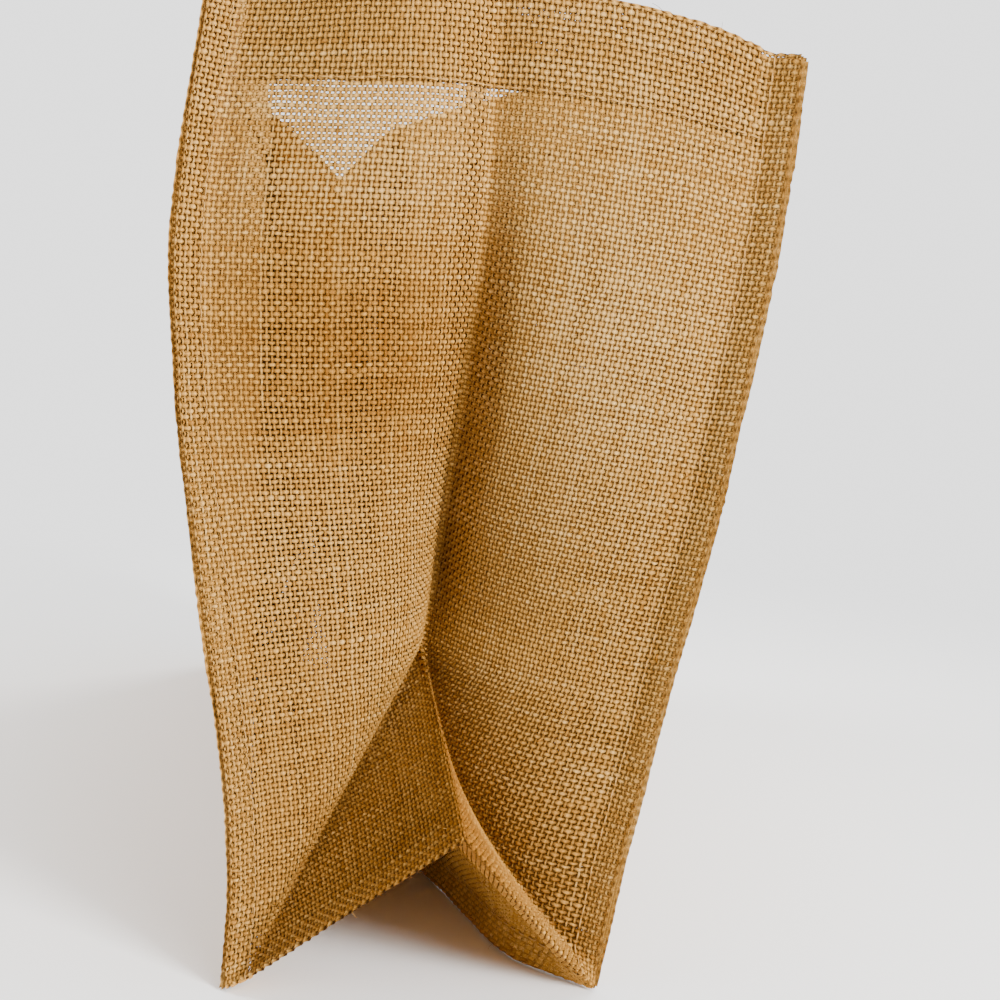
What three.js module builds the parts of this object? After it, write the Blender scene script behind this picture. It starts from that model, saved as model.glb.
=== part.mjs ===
// A jute shopper standing on its two bottom seams, half opened at the near side, in millimetres, +Z up.
// X runs along the bag's width with the open gusset at +X, the front panel is at -Y, the back panel at +Y.
import * as THREE from 'three';

const GUSSET_DEPTH = 200; // flat width of the strip that makes both sides and the base
const SEAM_HEIGHT = 320; // length of a side seam from the corner to the rim
const FAR_END = -210; // tip of the far side seams along X
const CLOTH_THICK = 1.6;
const STITCH_GAP = 0.3; // air left between two sewn layers
const HEM_DEPTH = 30; // cloth turned in at the rim
const HEM_EXTRA = 1.2; // how much the turned layer adds on the inside
const HEM_STEP = 3; // height over which the hem's lower edge fades
const CELLS = 9; // grid cells across half of the gusset
const SIDE_ROWS = 7; // grid rows between the corner fold and the hem
const BASE_ROWS = 8; // grid rows along the base between the corner folds
const NEAR_FLARE = 50; // degrees by which the near seam allowance turns outward
const FAR_FLARE = 35; // the same at the far side
const PLEAT_SPREAD = 3; // how far the base's layer stands off the side's layer in the corner
const PLEAT_RISE = 0.6; // its height as a share of the seam allowance
const BEAK_SAG = 10; // how far the beak's lower fold hangs below the straight line to its tip
const LEAN_TURNS = 60; // steps in which a normal on a fold is evened out between the faces beside it
const LEAN_SHARE = 1.5; // size of the first of those steps
const STRAP_WIDE = 25;
const STRAP_THICK = 2.6;
const STRAP_GAP = 0.6; // air between strap and panel, which curves a little under it
const STRAP_STEPS = 36; // stations along one strap

const HALF = GUSSET_DEPTH / 2;
const ALLOWANCE = HALF / CELLS; // seam allowance, one grid cell wide
const SEAM_SPACING = CLOTH_THICK + 2 * STITCH_GAP;

// Where the panel tables' columns stand along X; near and far are at the seams themselves.
const COLUMN_X = { elbow: 185, arm: 150, quarter: 75, mid: 0, rear: -110 };

// Distance of the front panel from the bag's middle plane, a row for each share of its height.
// end is where the near seam's tip stands along X.
const FRONT_ROWS = [
  { up: 0, end: 210, near: -54.5, elbow: -54.3, arm: -54, quarter: -53, mid: -52, rear: -50, far: -47 },
  { up: 0.125, end: 210, near: -54.5, elbow: -54.8, arm: -55, quarter: -55, mid: -54, rear: -52, far: -48 },
  { up: 0.25, end: 211, near: -59.5, elbow: -59, arm: -58, quarter: -57, mid: -56, rear: -53, far: -49 },
  { up: 0.375, end: 212, near: -66.5, elbow: -65, arm: -62, quarter: -60, mid: -58, rear: -55, far: -50 },
  { up: 0.5, end: 211, near: -73.5, elbow: -71.5, arm: -67, quarter: -63, mid: -61, rear: -57, far: -52 },
  { up: 0.625, end: 209, near: -79.5, elbow: -77, arm: -72, quarter: -67, mid: -64, rear: -59, far: -54 },
  { up: 0.75, end: 207, near: -82.5, elbow: -80, arm: -75, quarter: -70, mid: -66, rear: -61, far: -56 },
  { up: 0.875, end: 204, near: -80.5, elbow: -79, arm: -75, quarter: -71, mid: -67, rear: -62, far: -58 },
  { up: 1, end: 200, near: -76.5, elbow: -75.5, arm: -73, quarter: -70, mid: -67, rear: -63, far: -60 },
];
const FRONT_RIM = { near: 314, elbow: 314.5, arm: 315, quarter: 316, mid: 317, rear: 318, far: 318 };

// The same for the back panel, which is pulled open at its near edge.
const BACK_ROWS = [
  { up: 0, end: 209, near: 54, elbow: 37, arm: 26.5, quarter: 8.5, mid: 3, rear: 2, far: 1 },
  { up: 0.125, end: 207, near: 59.5, elbow: 49, arm: 36, quarter: 17, mid: 9, rear: 5, far: 2 },
  { up: 0.25, end: 207, near: 66, elbow: 57.5, arm: 44, quarter: 26, mid: 15, rear: 8, far: 4 },
  { up: 0.375, end: 208, near: 72, elbow: 64, arm: 51, quarter: 33, mid: 21, rear: 11, far: 5 },
  { up: 0.5, end: 211, near: 78, elbow: 70, arm: 57, quarter: 40, mid: 27, rear: 14, far: 7 },
  { up: 0.625, end: 213, near: 82.5, elbow: 75, arm: 62, quarter: 46, mid: 33, rear: 18, far: 9 },
  { up: 0.75, end: 214, near: 87, elbow: 79.5, arm: 67, quarter: 51, mid: 38, rear: 22, far: 11 },
  { up: 0.875, end: 214, near: 90, elbow: 83, arm: 71, quarter: 55, mid: 42, rear: 25, far: 13 },
  { up: 1, end: 213, near: 91.5, elbow: 85, arm: 74, quarter: 58, mid: 45, rear: 28, far: 15 },
];
const BACK_RIM = { near: 310, elbow: 311, arm: 312.5, quarter: 315, mid: 317, rear: 318, far: 318 };

// The valley fold of each side gusset from the corner fold up to the rim, and how far each half bulges out.
const NEAR_VALLEY = [
  { up: 0.3125, x: 156, y: 1, z: 106, frontBulge: 14, backBulge: 11 },
  { up: 0.375, x: 154, y: 4, z: 125, frontBulge: 12, backBulge: 11 },
  { up: 0.5, x: 166, y: 5, z: 163, frontBulge: 9, backBulge: 11 },
  { up: 0.625, x: 178, y: 6, z: 202, frontBulge: 8, backBulge: 8 },
  { up: 0.75, x: 187, y: 6, z: 241, frontBulge: 8, backBulge: 5 },
  { up: 0.875, x: 194, y: 5, z: 280, frontBulge: 10, backBulge: 3 },
  { up: 1, x: 198, y: 3, z: 321, frontBulge: 11, backBulge: 1 },
];
const FAR_VALLEY = [
  { up: 0.3125, x: -118, y: -23, z: 110, frontBulge: 1, backBulge: 1 },
  { up: 0.5, x: -115, y: -23, z: 162, frontBulge: 1.5, backBulge: 1 },
  { up: 0.75, x: -117, y: -23, z: 241, frontBulge: 2, backBulge: 1.5 },
  { up: 1, x: -125, y: -22, z: 319, frontBulge: 2, backBulge: 2 },
];

// The base's raised fold from the near corner fold to the far one.
const BASE_RIDGE = [
  { x: 135, y: -12, z: 74, bulge: 3 },
  { x: 60, y: -19, z: 88, bulge: 2 },
  { x: 0, y: -22, z: 91, bulge: 1.5 },
  { x: -60, y: -23, z: 89, bulge: 1.5 },
  { x: -112, y: -23, z: 76, bulge: 1 },
];

// The tips of the two corner folds, which stand out like a beak between the panels.
const NEAR_TIP = { x: 247, y: 7, z: 66 };
const FAR_TIP = { x: -220, y: -23, z: 92 };
// How far the fold between the near beak and the back half of the gusset bows into the bag at its middle.
const NEAR_BOW = { x: -8, y: -13, z: 0 };
const FAR_BOW = { x: 0, y: 0, z: 0 };
const NEAR_BEAK = 2; // how far the near beak's upper faces swell
const FAR_BEAK = 0; // the far beak is pressed flat

// One strap from the foot of its first sewn end, over the grip, to the foot of its second.
// rise counts from the rim, out is the lean away from the bag and turn twists the flat side upward.
const STRAP_ROWS = [
  { x: -70, rise: -62, out: 0, turn: 0 },
  { x: -70, rise: -30, out: 0, turn: 0 },
  { x: -70, rise: 0, out: 0, turn: 0 },
  { x: -69, rise: 28, out: 2, turn: 12 },
  { x: -64, rise: 66, out: 6, turn: 40 },
  { x: -48, rise: 102, out: 10, turn: 68 },
  { x: -22, rise: 122, out: 12, turn: 86 },
  { x: 4, rise: 126, out: 13, turn: 90 },
  { x: 30, rise: 119, out: 12, turn: 84 },
  { x: 53, rise: 97, out: 10, turn: 64 },
  { x: 66, rise: 62, out: 6, turn: 36 },
  { x: 70, rise: 27, out: 2, turn: 10 },
  { x: 70, rise: 0, out: 0, turn: 0 },
  { x: 70, rise: -30, out: 0, turn: 0 },
  { x: 70, rise: -62, out: 0, turn: 0 },
];

const JUTE = { color: 0xb98d52, roughness: 0.92, metalness: 0 };
const WEBBING = { color: 0xc7a877, roughness: 0.88, metalness: 0 };

const radians = THREE.MathUtils.degToRad;
const mix = THREE.MathUtils.lerp;
const between = (a, b, t) => new THREE.Vector3().lerpVectors(a, b, t);
const place = ({ x, y, z }) => new THREE.Vector3(x, y, z);
const list = (length, make) => Array.from({ length }, (_, k) => make(k));

// Smooth curve through values given at rising knots, with the slope at each knot taken from its neighbours.
function smooth(knots, values, at) {
  const last = knots.length - 1;
  const t = THREE.MathUtils.clamp(at, knots[0], knots[last]);
  const i = Math.min(knots.findLastIndex((knot) => knot <= t), last - 1);
  const slope = (k) => {
    const lo = Math.max(k - 1, 0);
    const hi = Math.min(k + 1, last);
    return (values[hi] - values[lo]) / (knots[hi] - knots[lo]);
  };
  const span = knots[i + 1] - knots[i];
  const u = (t - knots[i]) / span;
  const start = (1 + 2 * u) * (1 - u) ** 2 * values[i] + u * (1 - u) ** 2 * span * slope(i);
  const end = u * u * (3 - 2 * u) * values[i + 1] - u * u * (1 - u) * span * slope(i + 1);
  return start + end;
}

// One column of a table read at a place between its rows.
function column(rows, key, name, at) {
  const rising = rows[0][key] < rows.at(-1)[key] ? rows : [...rows].reverse();
  return smooth(rising.map((row) => row[key]), rising.map((row) => row[name]), at);
}

// Grid rows of a panel as shares of its height: beside the corner fold, beside the gusset, the hem.
const HEM_UP = 1 - HEM_DEPTH / SEAM_HEIGHT;
const HEM_FOOT = HEM_UP - HEM_STEP / SEAM_HEIGHT;
const FOLD_UP = HALF / SEAM_HEIGHT;
const CORNER_UPS = list(CELLS + 1, (k) => (FOLD_UP * k) / CELLS);
const SIDE_UPS = list(SIDE_ROWS, (k) => mix(FOLD_UP, HEM_FOOT, (k + 1) / SIDE_ROWS));
const UPS = [...CORNER_UPS, ...SIDE_UPS, HEM_UP, 1];
const LAST_COLUMN = 2 * CELLS + BASE_ROWS;

const FRONT = { rows: FRONT_ROWS, rim: FRONT_RIM, out: -1, bulge: 'frontBulge' };
const BACK = { rows: BACK_ROWS, rim: BACK_RIM, out: 1, bulge: 'backBulge' };

// Where a panel's cloth meets its two seam allowances along X.
function seamRoots(panel, up) {
  const near = column(panel.rows, 'up', 'end', up) - ALLOWANCE * Math.cos(radians(NEAR_FLARE));
  const far = FAR_END + ALLOWANCE * Math.cos(radians(FAR_FLARE));
  return { near, far };
}

// A point of a panel's middle surface between its two seams.
function panelPoint(panel, x, up) {
  const places = { ...seamRoots(panel, up), ...COLUMN_X };
  const names = Object.keys(places).sort((a, b) => places[a] - places[b]);
  const knots = names.map((name) => places[name]);
  const y = smooth(knots, names.map((name) => column(panel.rows, 'up', name, up)), x);
  const z = up * smooth(knots, names.map((name) => panel.rim[name]), x);
  return new THREE.Vector3(x, y, z);
}

// The free edge of a seam allowance, turned outward from its root.
function allowanceTip(panel, root, flare, end) {
  const tip = root.clone();
  tip.x += end * ALLOWANCE * Math.cos(radians(flare));
  tip.y += panel.out * ALLOWANCE * Math.sin(radians(flare));
  return tip;
}

// One row of a panel's grid: the near seam allowance, the cloth between, the far seam allowance.
function panelRow(panel, up) {
  const { near, far } = seamRoots(panel, up);
  const corner = HALF - ALLOWANCE;
  const xs = [
    ...list(CELLS, (k) => near - ALLOWANCE * k),
    ...list(BASE_ROWS - 1, (k) => mix(near - corner, far + corner, (k + 1) / BASE_ROWS)),
    ...list(CELLS, (k) => far + corner - ALLOWANCE * k),
  ];
  const row = xs.map((x) => panelPoint(panel, x, up));
  const nearTip = allowanceTip(panel, row[0], NEAR_FLARE, 1);
  const farTip = allowanceTip(panel, row.at(-1), FAR_FLARE, -1);
  return [nearTip, ...row, farTip];
}

// Two triangles of a grid cell; forward says which of its diagonals is the fold.
function cellTriangles(i, j, forward) {
  const a = [i, j];
  const b = [i, j + 1];
  const c = [i + 1, j];
  const d = [i + 1, j + 1];
  return forward ? [[a, c, d], [a, d, b]] : [[a, c, b], [b, c, d]];
}

function gridTriangles(grid, forwardAt) {
  const triangles = [];
  for (let i = 0; i < grid.length - 1; i += 1) {
    for (let j = 0; j < grid[0].length - 1; j += 1) {
      triangles.push(...cellTriangles(i, j, forwardAt(i, j)));
    }
  }
  return triangles;
}

// Unit normals of a grid of points: each starts as the mean of the faces around it and leans towards
// the face it points away from most, so that a sharp fold keeps its thickness on both sides.
function gridNormals(grid, forwardAt) {
  const faces = grid.map((row) => row.map(() => []));
  for (const triangle of gridTriangles(grid, forwardAt)) {
    const corners = triangle.map(([i, j]) => grid[i][j]);
    const face = new THREE.Triangle(...corners).getNormal(new THREE.Vector3());
    triangle.forEach(([i, j]) => faces[i][j].push(face));
  }
  return faces.map((row) => row.map((around) => {
    const normal = around.reduce((sum, face) => sum.add(face), new THREE.Vector3()).normalize();
    for (let turn = 1; turn <= LEAN_TURNS; turn += 1) {
      const worst = around.reduce((low, face) => (face.dot(normal) < low.dot(normal) ? face : low));
      normal.addScaledVector(worst, LEAN_SHARE / turn).normalize();
    }
    return normal;
  }));
}

// A panel's cells are all split the same way.
const alike = () => true;

// A panel stands on its first row of points, so the normals there are kept level.
function standingNormals(grid) {
  const normals = gridNormals(grid, alike);
  normals[0].forEach((normal) => normal.setZ(0).normalize());
  return normals;
}

function solid(points, index) {
  const geometry = new THREE.BufferGeometry();
  const values = points.flatMap((p) => p.toArray());
  geometry.setAttribute('position', new THREE.Float32BufferAttribute(values, 3));
  geometry.setIndex(index);
  geometry.computeVertexNormals();
  return geometry;
}

// A closed sheet around a grid of middle points; inside(i, j) is the extra thickness on its back.
function sheet(grid, normals, forwardAt, inside) {
  const rows = grid.length;
  const columns = grid[0].length;
  const moved = (depthAt) => grid.flatMap((row, i) => row.map((p, j) => (
    p.clone().addScaledVector(normals[i][j], depthAt(i, j))
  )));
  const outer = moved(() => CLOTH_THICK / 2);
  const inner = moved((i, j) => -CLOTH_THICK / 2 - inside(i, j));
  const id = (layer, [i, j]) => layer * rows * columns + i * columns + j;
  const index = [];
  for (const [a, b, c] of gridTriangles(grid, forwardAt)) {
    index.push(id(0, a), id(0, b), id(0, c));
    index.push(id(1, a), id(1, c), id(1, b));
  }
  const edge = [
    ...list(rows, (i) => [i, 0]),
    ...list(columns - 1, (j) => [rows - 1, j + 1]),
    ...list(rows - 1, (i) => [rows - 2 - i, columns - 1]),
    ...list(columns - 2, (j) => [0, columns - 2 - j]),
  ];
  edge.forEach((a, k) => {
    const b = edge[(k + 1) % edge.length];
    index.push(id(0, b), id(0, a), id(1, a));
    index.push(id(0, b), id(1, a), id(1, b));
  });
  return solid([...outer, ...inner], index);
}

const isHem = (up) => up >= HEM_UP;

// A panel's sheet, with its hem inside between the seam allowances.
function panelSheet(panel) {
  const ordered = panel.out < 0 ? panel.grid : panel.grid.map((row) => [...row].reverse());
  const hem = (i, j) => (isHem(UPS[i]) && j > 1 && j < LAST_COLUMN - 1 ? HEM_EXTRA : 0);
  return sheet(ordered, standingNormals(ordered), alike, hem);
}

// The layer sewn to a panel's inside: its grid moved inward by the seam's spacing, just off the ground.
function sewnLayer(panel) {
  const normals = standingNormals(panel.grid);
  const layer = panel.grid.map((row, i) => row.map((p, j) => {
    const inward = normals[i][j].y * panel.out < 0 ? 1 : -1;
    return p.clone().addScaledVector(normals[i][j], inward * SEAM_SPACING);
  }));
  layer[0].forEach((p) => p.setZ(2 * STITCH_GAP));
  return layer;
}

// Half of a strip section from its sewn edge to the middle fold.
// crook is the cell at which it turns at the corner's slanting fold, before going on to the middle.
function halfSection({ edge, root, turn, crook, middle, bulge, outward, beak = 0 }) {
  return list(CELLS + 1, (j) => {
    if (j === 0) return edge;
    if (j === 1) return root;
    if (j <= crook) {
      const t = (j - 1) / (crook - 1);
      return between(root, turn, t).addScaledVector(outward, 4 * t * (1 - t) * bulge);
    }
    const t = (j - crook) / (CELLS - crook);
    return between(turn, middle, t).addScaledVector(outward, 4 * t * (1 - t) * beak);
  });
}

// A whole strip section from one half for each panel.
function section(half) {
  return [...half(FRONT), ...half(BACK).slice(0, CELLS).reverse()];
}

// Direction across a chord, level with the ground, that points out of the bag at the given end.
function levelOutward(from, to, end) {
  const across = new THREE.Vector3(to.y - from.y, from.x - to.x, 0).normalize();
  return across.x * end < 0 ? across.negate() : across;
}

// Direction across a chord of the base, seen along X, that points away from the inside.
function baseOutward(from, to) {
  const across = new THREE.Vector3(0, to.z - from.z, from.y - to.y).normalize();
  return across.z > 0 ? across.negate() : across;
}

const NEAR = {
  end: 1,
  tipColumn: 0,
  rootColumn: 1,
  valley: NEAR_VALLEY,
  apex: place(NEAR_VALLEY[0]),
  tip: place(NEAR_TIP),
  baseApex: place(BASE_RIDGE[0]),
  beak: NEAR_BEAK,
  bow: place(NEAR_BOW),
};
const FAR = {
  end: -1,
  tipColumn: LAST_COLUMN,
  rootColumn: LAST_COLUMN - 1,
  valley: FAR_VALLEY,
  apex: place(FAR_VALLEY[0]),
  tip: place(FAR_TIP),
  baseApex: place(BASE_RIDGE.at(-1)),
  beak: FAR_BEAK,
  bow: place(FAR_BOW),
};

// The side gusset above the corner fold.
function sideSection(side, i) {
  const read = (name) => column(side.valley, 'up', name, UPS[i]);
  const middle = new THREE.Vector3(read('x'), read('y'), read('z'));
  return section((panel) => {
    const edge = panel.sewn[i][side.tipColumn];
    const root = panel.sewn[i][side.rootColumn];
    const outward = levelOutward(root, middle, side.end);
    return halfSection({ edge, root, turn: middle, crook: CELLS, middle, bulge: read(panel.bulge), outward });
  });
}

// The side gusset below the corner fold's apex, where the beak's upper face fills its middle.
function sideCorner(side, k) {
  const { apex, beak } = side;
  const grown = (k - 1) / (CELLS - 1);
  const middle = between(side.tip, apex, k / CELLS);
  return section((panel) => {
    const edge = panel.sewn[k][side.tipColumn];
    const root = panel.sewn[k][side.rootColumn];
    const turn = between(panel.sewn[1][side.rootColumn], apex, grown);
    if (panel === BACK) turn.addScaledVector(side.bow, 4 * grown * (1 - grown));
    const bulge = side.valley[0][panel.bulge] * grown;
    const outward = levelOutward(root, apex, side.end);
    return halfSection({ edge, root, turn, crook: k, middle, bulge, outward, beak });
  });
}

// The fold that runs from one bottom corner over the beak's tip to the other.
function foldSection(side) {
  return section((panel) => {
    const corner = panel.sewn[0][side.tipColumn];
    return list(CELLS + 1, (j) => between(corner, side.tip, j / CELLS));
  });
}

// The base beside a corner, where the beak's lower face fills its middle.
function baseCorner(side, k) {
  const apex = side.baseApex;
  const at = side.tipColumn + side.end * k;
  const grown = (k - 1) / (CELLS - 1);
  const middle = between(side.tip, apex, k / CELLS);
  middle.z -= (4 * k * (CELLS - k) * BEAK_SAG) / CELLS ** 2;
  return section((panel) => {
    const pleat = between(panel.sewn[0][side.rootColumn], panel.sewn[1][side.rootColumn], PLEAT_RISE);
    pleat.y -= panel.out * PLEAT_SPREAD;
    const edge = panel.sewn[0][at];
    const root = k === 1 ? pleat : panel.sewn[1][at];
    const turn = between(pleat, apex, grown);
    const bulge = BASE_RIDGE[0].bulge * grown;
    return halfSection({ edge, root, turn, crook: k, middle, bulge, outward: baseOutward(root, apex) });
  });
}

// The base between the corners, folded up along its middle.
function baseSection(k) {
  const at = NEAR.tipColumn + CELLS + k;
  const x = mix(NEAR.baseApex.x, FAR.baseApex.x, k / BASE_ROWS);
  const read = (name) => column(BASE_RIDGE, 'x', name, x);
  const middle = new THREE.Vector3(x, read('y'), read('z'));
  return section((panel) => {
    const edge = panel.sewn[0][at];
    const root = panel.sewn[1][at];
    const outward = baseOutward(root, middle);
    return halfSection({ edge, root, turn: middle, crook: CELLS, middle, bulge: read('bulge'), outward });
  });
}

// The whole strip: down the near side, along the base and up the far side.
function stripSheet() {
  const sideRows = (side) => [
    ...list(UPS.length - CELLS, (k) => sideSection(side, UPS.length - 1 - k)),
    ...list(CELLS - 1, (k) => sideCorner(side, CELLS - 1 - k)),
    foldSection(side),
  ];
  const nearRows = sideRows(NEAR);
  const farRows = sideRows(FAR).reverse();
  const baseRows = [
    ...list(CELLS - 1, (k) => baseCorner(NEAR, k + 1)),
    ...list(BASE_ROWS + 1, (k) => baseSection(k)),
    ...list(CELLS - 1, (k) => baseCorner(FAR, CELLS - 1 - k)),
  ];
  const grid = [...nearRows, ...baseRows, ...farRows];
  const nearFold = nearRows.length - 1;
  const farFold = nearRows.length + baseRows.length;
  const opens = (i) => (i >= nearFold && i < (nearFold + farFold) / 2) || i >= farFold;
  const foldAt = (i, j) => opens(i) === (j < CELLS);
  const hemRows = UPS.filter(isHem).length;
  const isTurned = (i) => i < hemRows || i >= grid.length - hemRows;
  const hem = (i, j) => (isTurned(i) && j > 1 && j < 2 * CELLS - 1 ? HEM_EXTRA : 0);
  return sheet(grid, gridNormals(grid, foldAt), foldAt, hem);
}

// A strap swept along its table, flat against the panel at both ends and twisted over at the grip.
function strapBody(panel) {
  const spacing = CLOTH_THICK / 2 + STRAP_GAP + STRAP_THICK / 2;
  const stations = STRAP_ROWS.map((_, k) => k);
  const read = (name, at) => smooth(stations, STRAP_ROWS.map((row) => row[name]), at);
  const centre = (at) => {
    const rise = read('rise', at);
    const foot = panelPoint(panel, read('x', at), Math.min(1, 1 + rise / SEAM_HEIGHT));
    foot.z += Math.max(0, rise);
    foot.y += panel.out * (spacing + read('out', at));
    return foot;
  };
  const corners = [[-1, -1], [1, -1], [1, 1], [-1, 1]];
  const points = [];
  for (let k = 0; k <= STRAP_STEPS; k += 1) {
    const at = ((STRAP_ROWS.length - 1) * k) / STRAP_STEPS;
    const p = centre(at);
    const along = centre(at + 0.05).sub(centre(at - 0.05)).normalize();
    const turn = radians(read('turn', at));
    const beside = panelPoint(panel, p.x + 1, 1).sub(panelPoint(panel, p.x - 1, 1)).setZ(0).normalize();
    const out = new THREE.Vector3(-beside.y, beside.x, 0).multiplyScalar(panel.out);
    const flat = new THREE.Vector3().crossVectors(out, along).normalize();
    const wide = flat.multiplyScalar(Math.cos(turn)).addScaledVector(out, Math.sin(turn));
    wide.addScaledVector(along, -wide.dot(along)).normalize();
    const thick = new THREE.Vector3().crossVectors(along, wide);
    for (const [a, b] of corners) {
      const corner = p.clone().addScaledVector(wide, (a * STRAP_WIDE) / 2);
      points.push(corner.addScaledVector(thick, (b * STRAP_THICK) / 2));
    }
  }
  const index = [0, 2, 1, 0, 3, 2];
  for (let k = 0; k < STRAP_STEPS; k += 1) {
    for (let c = 0; c < 4; c += 1) {
      const a = 4 * k + c;
      const b = 4 * k + ((c + 1) % 4);
      const quad = c < 2 ? [a, b, b + 4, a, b + 4, a + 4] : [a, b, a + 4, b, b + 4, a + 4];
      index.push(...quad);
    }
  }
  const end = 4 * STRAP_STEPS;
  index.push(end, end + 1, end + 2, end, end + 2, end + 3);
  return solid(points, index);
}

function piece(name, geometry, look) {
  const mesh = new THREE.Mesh(geometry, new THREE.MeshStandardMaterial(look));
  mesh.name = name;
  return mesh;
}

for (const panel of [FRONT, BACK]) {
  panel.grid = UPS.map((up) => panelRow(panel, up));
  panel.sewn = sewnLayer(panel);
}

const bag = new THREE.Group();
bag.add(
  piece('front_panel', panelSheet(FRONT), JUTE),
  piece('back_panel', panelSheet(BACK), JUTE),
  piece('gusset_strip', stripSheet(), JUTE),
  piece('front_handle', strapBody(FRONT), WEBBING),
  piece('back_handle', strapBody(BACK), WEBBING),
);
const box = new THREE.Box3().setFromObject(bag);
bag.position.set(-(box.min.x + box.max.x) / 2, -(box.min.y + box.max.y) / 2, -box.min.z);

export default bag;
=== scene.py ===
"""Dresses the jute tote bag: woven sheets, webbing handles, stitching, loose fibres, light and camera."""

import logging
import math
from dataclasses import dataclass, field
from enum import Enum
from typing import NamedTuple, Sequence

import bmesh
import bpy
import numpy as np
from mathutils import Matrix, Vector


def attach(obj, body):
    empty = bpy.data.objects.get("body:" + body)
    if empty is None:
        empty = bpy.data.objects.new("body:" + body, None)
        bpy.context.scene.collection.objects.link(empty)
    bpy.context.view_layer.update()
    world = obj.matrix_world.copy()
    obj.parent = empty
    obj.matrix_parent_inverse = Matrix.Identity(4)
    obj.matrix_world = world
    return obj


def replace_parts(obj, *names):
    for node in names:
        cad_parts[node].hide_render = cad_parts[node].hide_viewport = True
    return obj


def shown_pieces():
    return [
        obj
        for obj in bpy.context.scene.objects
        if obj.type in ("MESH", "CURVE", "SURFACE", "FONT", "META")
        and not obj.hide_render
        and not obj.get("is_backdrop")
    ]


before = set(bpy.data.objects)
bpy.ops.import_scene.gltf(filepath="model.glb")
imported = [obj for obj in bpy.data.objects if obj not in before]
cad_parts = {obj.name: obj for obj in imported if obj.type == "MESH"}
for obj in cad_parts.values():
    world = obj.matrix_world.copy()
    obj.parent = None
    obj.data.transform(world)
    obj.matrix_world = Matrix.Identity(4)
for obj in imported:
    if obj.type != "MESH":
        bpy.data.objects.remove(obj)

LOG = logging.getLogger("tote_bag")

MM = 0.001
SHIFT = np.array([-13.503, -2.481, 0.0])  # from the pattern's own axes to the frame's origin, mm
GUSSET_DEPTH = 200.0  # flat width of the strip
SEAM_HEIGHT = 320.0  # corner to rim along a side seam
BAG_WIDTH = 420.0  # flat width of a panel
HEM_DEPTH = 30.0
HEM_GAP = 1.5  # between the middles of a sheet and its turned-in hem
FAR_END = -210.0
HALF = GUSSET_DEPTH / 2
CELLS = 9  # seam allowances that fit in half the gusset
ALLOWANCE = HALF / CELLS
SEAM_SPACING = 2.2  # between the middles of two sewn layers
PROBE_X = 1.0  # steps that measure a panel's slope, in mm and as a share of its height
PROBE_UP = 0.01
PROBE_IN = 2.0  # from an allowance's root to where the panel's normal is read
SLANT_LIMIT = 0.5  # holds the gap at that root where the bend is sharp
GROUND_GAP = 0.6  # the strip's edge above the ground
FLOOR_GAP = 0.05  # no thread goes lower
NEAR_FLARE = 50.0  # how far the seam flanges turn out from the bag's length, degrees
FAR_FLARE = 35.0
PLEAT_SPREAD = 3.0  # a corner's pleat stands this far into the base
PLEAT_RISE = 0.6  # and at this share of the allowance's height
BEAK_SAG = 10.0  # fall of the beak's middle fold between tip and base
FRONT_SKEW = 1.6  # the near gusset's front half rolls over into the valley
CREASE_MOVE = np.array([-10.0, 1.0, 0.0])  # how far the valley's crease goes into the bag
CREASE_FRONT = 6.0  # its reach on the two halves
CREASE_BACK = 10.0
CREASE_UPS = (0.3125, 0.4, 0.65, 0.9, 1.0)  # its share by height
CREASE_SHARES = (0.0, 0.9, 1.0, 0.3, 0.1)
RIM_ARCH = 5.0  # the near rim's rise between the valley and the back seam
RIM_FOOT = 0.7
FAR_SAG = 40.0  # the far rim's fall between its two seams
STRAP_OFF = 2.7  # strap middle from panel middle
STRAP_WIDE = 25.0
STRAP_THICK = 2.6
STITCH_RISE = 0.5  # sewing thread over the cloth's middle
SEAM_STITCH_IN = 2.0  # seam stitching from the allowance's root
HEM_STITCH_IN = 3.0  # hem stitching from the hem's inner edge
WARP_PITCH = 1.69  # threads along a sheet, spacing in mm
WEFT_PITCH = 1.78
HEM_MARGIN = 2  # threads between a hem's end and the seam allowance
STRAND_SPREAD = 0.28  # change of tint by the strands in a yarn
WARP_LIFT = 0.35  # how high a thread lies at a crossing, -1 to 1, which sets its painted shade
WEFT_LIFT = 0.6
EDGE_LIFT = -0.45  # change of that at the edges of a crowned thread, which paints shade along them
SLOW_RUN = 16  # crossings over which a thread's tint and width change


class End(Enum):
    """The two ends of the bag along X."""

    NEAR = 1
    FAR = -1


class Side(Enum):
    """The two panels, by the way they face along Y."""

    FRONT = -1
    BACK = 1


class Ribbon(Enum):
    """How many points a thread has across: a flat band or a crowned one."""

    FLAT = 2
    CROWNED = 3


class PanelRow(NamedTuple):
    """Distance of a panel from the bag's middle plane at one share of its height, by place along X."""

    up: float
    end: float
    near: float
    elbow: float
    arm: float
    quarter: float
    mid: float
    rear: float
    far: float


class Rim(NamedTuple):
    """Height of a panel's rim by place along X."""

    near: float
    elbow: float
    arm: float
    quarter: float
    mid: float
    rear: float
    far: float


class Valley(NamedTuple):
    """The valley fold of a side gusset and the bulge of its two halves."""

    up: float
    x: float
    y: float
    z: float
    front_bulge: float
    back_bulge: float


class Ridge(NamedTuple):
    """The base's raised fold."""

    x: float
    y: float
    z: float
    bulge: float


class PaintedLightPatch(NamedTuple):
    """A soft patch of painted light or painted shade in the strip's tint: middle, half lengths and change
    of tint.
    """

    run: float
    across: float
    long: float
    wide: float
    tone: float


class Uneven(NamedTuple):
    """How far a value varies: from thread to thread, slowly along a thread and at each crossing."""

    thread: float
    slow: float
    spot: float


class StitchRing(NamedTuple):
    """One ring of a stitch: share of its half length, share of its radius and depth in the cloth."""

    share: float
    size: float
    drop: float


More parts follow.
